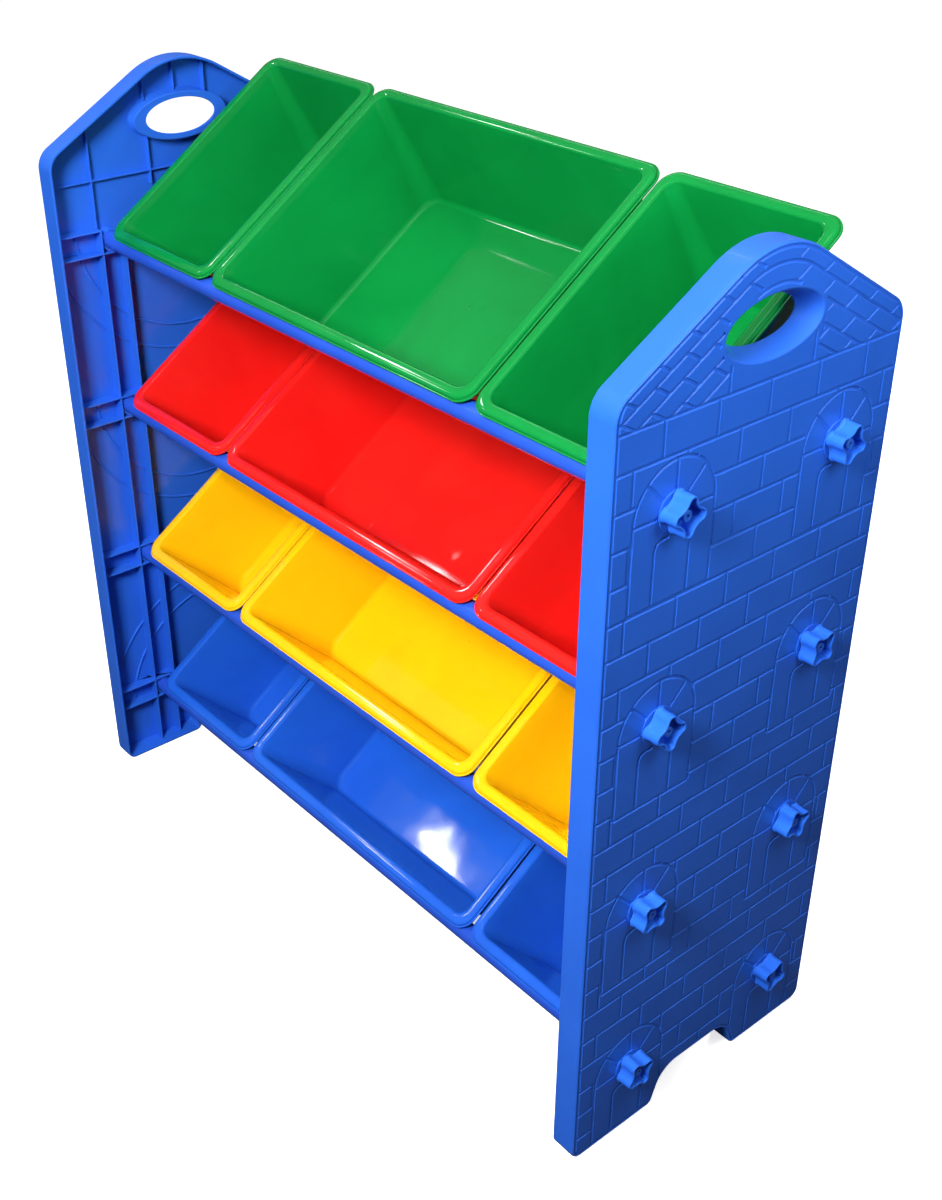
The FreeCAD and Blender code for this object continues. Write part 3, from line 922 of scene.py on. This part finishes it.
def makeWorld():  # white to the camera, a soft room to the plastic, darker low down
    world = bpy.data.worlds.new("plainRoom")
    bpy.context.scene.world = world
    world.use_nodes = True
    tree = world.node_tree
    tree.nodes.clear()
    seen = addNode(tree, "ShaderNodeLightPath")
    way = addNode(tree, "ShaderNodeTexCoord").outputs["Generated"]
    high = addNode(tree, "ShaderNodeSeparateXYZ", {}, {}, {0: way}).outputs["Z"]
    rooms = []
    for levels in (stageSizes["roomLevels"], stageSizes["mirroredLevels"]):
        level = addNode(tree, "ShaderNodeMapRange", {}, {"From Min": -0.1, "From Max": 0.9,
                        "To Min": levels[0], "To Max": levels[1]}, {"Value": high})
        rooms.append(addNode(tree, "ShaderNodeBackground", {}, {"Color": (1, 1, 1, 1)},
                             {"Strength": level.outputs[0]}))
    white = addNode(tree, "ShaderNodeBackground", {}, {"Color": (1, 1, 1, 1), "Strength": 1.0})
    room = addNode(tree, "ShaderNodeMixShader", {}, {}, {0: seen.outputs["Is Glossy Ray"],
                   1: rooms[0].outputs[0], 2: rooms[1].outputs[0]})
    pick = addNode(tree, "ShaderNodeMixShader", {}, {}, {0: seen.outputs["Is Camera Ray"],
                   1: room.outputs[0], 2: white.outputs[0]})
    addNode(tree, "ShaderNodeOutputWorld", {}, {}, {"Surface": pick.outputs[0]})


# lamps that aren't mirrored only light the plastic; the others also show in its gloss
lampSizes = {
    "keyLamp": {"at": (620, -1330, 1580), "size": (450, 450), "power": 50.0, "mirrored": False},
    "sideLamp": {"at": (850, 50, 1050), "size": (300, 300), "power": 2.0, "mirrored": False},
    "topLamp": {"at": (300, 300, 3300), "size": (1600, 1600), "power": 17.0, "mirrored": False},
    "rearLamp": {"at": (-1100, 1900, 1500), "size": (700, 700), "power": 46.0, "mirrored": False},
    "windowLamp": {"at": (-1931, -720, 2493), "size": (230, 150), "power": 3.4, "mirrored": True},
    "doorLamp": {"at": (-1676, -1290, 2008), "size": (170, 100), "power": 1.5, "mirrored": True},
    "longTubeLamp": {"at": (-2300, 900, 2900), "size": (2800, 60), "power": 5.0,
                     "mirrored": True, "level": True},
    "crossTubeLamp": {"at": (200, -800, 2900), "size": (60, 1500), "power": 2.6,
                      "mirrored": True, "level": True},
}


def makeLamps():
    aim = Vector(stageSizes["lampAim"]) * mm
    for name, s in lampSizes.items():
        data = bpy.data.lights.new(name, "AREA")
        data.shape = "RECTANGLE"
        data.size, data.size_y = s["size"][0] * mm, s["size"][1] * mm
        data.energy = s["power"]
        lamp = bpy.data.objects.new(name, data)
        lamp.location = Vector(s["at"]) * mm
        lamp.visible_glossy = s["mirrored"]
        lamp.rotation_mode = "QUATERNION"
        if not s.get("level"):  # ceiling tubes hang level, the others look at the rack
            lamp.rotation_quaternion = (aim - lamp.location).to_track_quat("-Z", "Y")
        bpy.context.scene.collection.objects.link(lamp)


def makeCamera():
    s = stageSizes
    azimuth, elevation, roll = (math.radians(s[n]) for n in ("azimuth", "elevation", "roll"))
    flat = math.cos(elevation)
    back = Vector((math.sin(azimuth) * flat, -math.cos(azimuth) * flat, math.sin(elevation)))
    right = Vector((0, 0, 1)).cross(back).normalized()
    above = back.cross(right)
    rightRolled = right * math.cos(roll) + above * math.sin(roll)
    aboveRolled = above * math.cos(roll) - right * math.sin(roll)
    data = bpy.data.cameras.new("photoCamera")
    data.sensor_width = s["sensor"]
    data.lens = s["focal"] / s["imageHeight"] * s["sensor"]
    data.clip_start, data.clip_end = s["clip"]
    camera = bpy.data.objects.new("photoCamera", data)
    turn = Matrix((rightRolled, aboveRolled, back)).transposed().to_4x4()
    camera.matrix_world = Matrix.Translation(Vector(s["camera"]) * mm) @ turn
    bpy.context.scene.collection.objects.link(camera)
    bpy.context.scene.camera = camera


makeFloor()
makeWorld()
makeLamps()
makeCamera()
bpy.context.scene.view_settings.view_transform = "Standard"
print("stage done")
